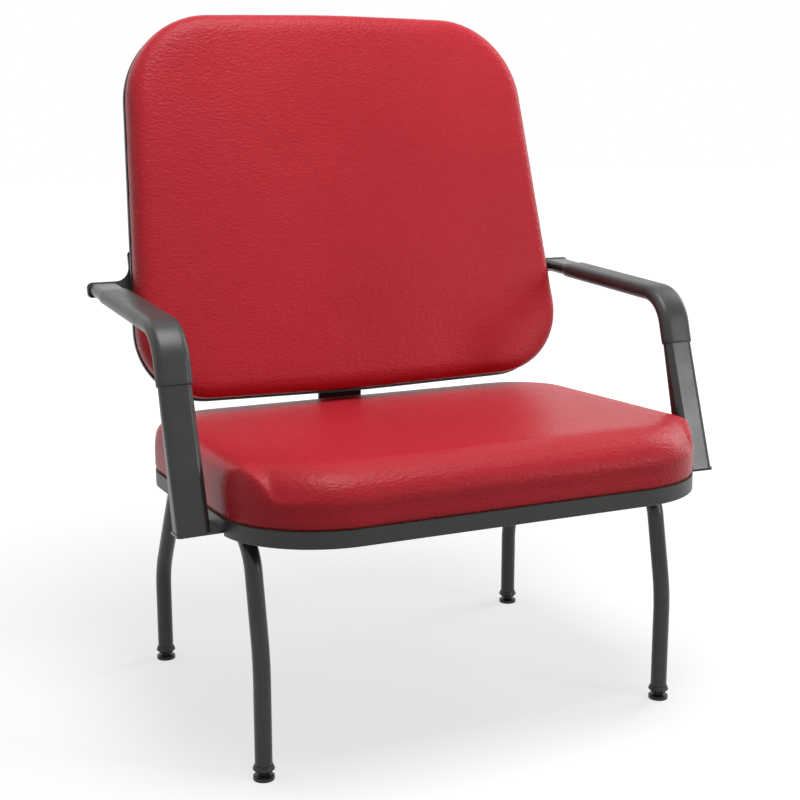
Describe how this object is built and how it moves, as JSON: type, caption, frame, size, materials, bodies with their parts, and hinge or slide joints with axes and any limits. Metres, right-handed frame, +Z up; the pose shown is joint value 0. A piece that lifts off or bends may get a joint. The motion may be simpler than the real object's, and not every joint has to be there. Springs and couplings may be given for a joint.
{
  "type": "wide reception armchair",
  "caption": "Wide four-legged reception armchair with a red upholstered seat and back, bent tube legs, padded loop arms and levelling feet.",
  "frame": {"origin": "on the floor, under the middle of the chair's overall width and depth", "axes": "+Z up; the sitter faces -Y; +X is to the right of a viewer in front of the chair"},
  "size_m": [0.8892, 0.7117, 1.0803],
  "materials": {
    "red_leather": "fine-grained red synthetic leather, soft sheen",
    "foam": "pale open-cell foam, hidden",
    "plywood": "bare plywood, hidden",
    "black_shell": "fine-textured black plastic",
    "black_frame": "satin black powder coat",
    "arm_sleeve": "dark grey soft skin, satin",
    "black_bolts": "blackened steel",
    "zinc_steel": "bright zinc",
    "foot_plastic": "black moulded plastic"
  },
  "bodies": {
    "chair": {"seat_cover": "red_leather", "back_cover": "red_leather", "seat_foam": "foam", "back_foam": "foam", "seat_board": "plywood", "back_board": "plywood", "seat_tray": "black_shell", "back_tray": "black_shell", "arm_pad_left": "arm_sleeve", "arm_pad_right": "arm_sleeve", "seat_tee_nuts": "zinc_steel", "back_tee_nuts": "zinc_steel", "rail_bolts": "black_bolts", "arm_seat_bolts": "black_bolts", "blade_seat_bolts": "black_bolts", "blade_back_bolts": "black_bolts", "arm_back_bolts": "black_bolts", "cross_rail_front": "black_frame", "cross_rail_rear": "black_frame", "back_blade": "black_frame", "leg_frame_left": "black_frame", "arm_tube_left": "black_frame", "arm_seat_plate_left": "black_frame", "arm_back_plate_left": "black_frame", "leg_frame_right": "black_frame", "arm_tube_right": "black_frame", "arm_seat_plate_right": "black_frame", "arm_back_plate_right": "black_frame", "foot_plug_front_left": "foot_plastic", "foot_plug_front_right": "foot_plastic", "foot_plug_rear_left": "foot_plastic", "foot_plug_rear_right": "foot_plastic"},
    "foot_front_left": {"foot_disc_front_left": "foot_plastic", "foot_stem_front_left": "zinc_steel"},
    "foot_front_right": {"foot_disc_front_right": "foot_plastic", "foot_stem_front_right": "zinc_steel"},
    "foot_rear_left": {"foot_disc_rear_left": "foot_plastic", "foot_stem_rear_left": "zinc_steel"},
    "foot_rear_right": {"foot_disc_rear_right": "foot_plastic", "foot_stem_rear_right": "zinc_steel"}
  },
  "joints": [
    {"name": "level_front_left", "type": "slide", "parent": "chair", "child": "foot_front_left", "axis": [0, 0, -1], "range_m": [0, 0.01]},
    {"name": "level_front_right", "type": "slide", "parent": "chair", "child": "foot_front_right", "axis": [0, 0, -1], "range_m": [0, 0.01]},
    {"name": "level_rear_left", "type": "slide", "parent": "chair", "child": "foot_rear_left", "axis": [0, 0, -1], "range_m": [0, 0.01]},
    {"name": "level_rear_right", "type": "slide", "parent": "chair", "child": "foot_rear_right", "axis": [0, 0, -1], "range_m": [0, 0.01]}
  ]
}
